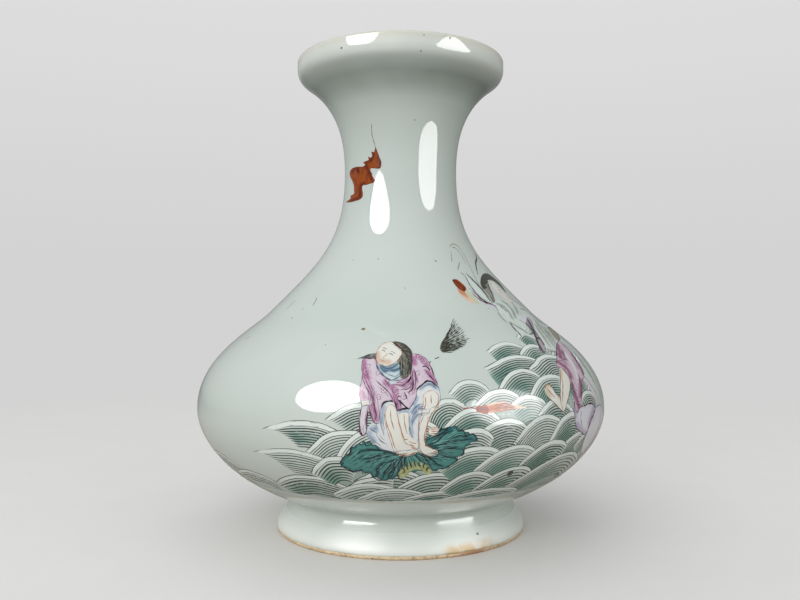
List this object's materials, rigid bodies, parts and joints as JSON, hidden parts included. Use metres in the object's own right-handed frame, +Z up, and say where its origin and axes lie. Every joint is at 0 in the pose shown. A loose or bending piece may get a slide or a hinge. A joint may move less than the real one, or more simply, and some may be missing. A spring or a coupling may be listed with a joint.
{
  "type": "water chestnut vase",
  "caption": "Low wide-bellied porcelain vase with a dish mouth, waisted neck and flaring foot ring, painted with sea waves, a bat and robed figures.",
  "frame": {"origin": "centre of the plane that the foot ring rests on", "axes": "+Z up along the axis that every piece is turned about; the painted front faces -Y and +X is to its right"},
  "size_m": [0.1548, 0.1548, 0.18],
  "materials": {
    "porcelain_glaze": "glossy, faintly green-blue white",
    "foot_glaze": "glossy white, buff where the edge is bare",
    "fired_slip": "matt, unglazed"
  },
  "bodies": {
    "root": {"mouth_section": "porcelain_glaze", "mouth_joint_slip": "fired_slip", "neck_section": "porcelain_glaze", "neck_joint_slip": "fired_slip", "shoulder_section": "porcelain_glaze", "belly_joint_slip": "fired_slip", "belly_section": "porcelain_glaze", "foot_joint_slip": "fired_slip", "foot_ring": "foot_glaze"}
  },
  "joints": []
}
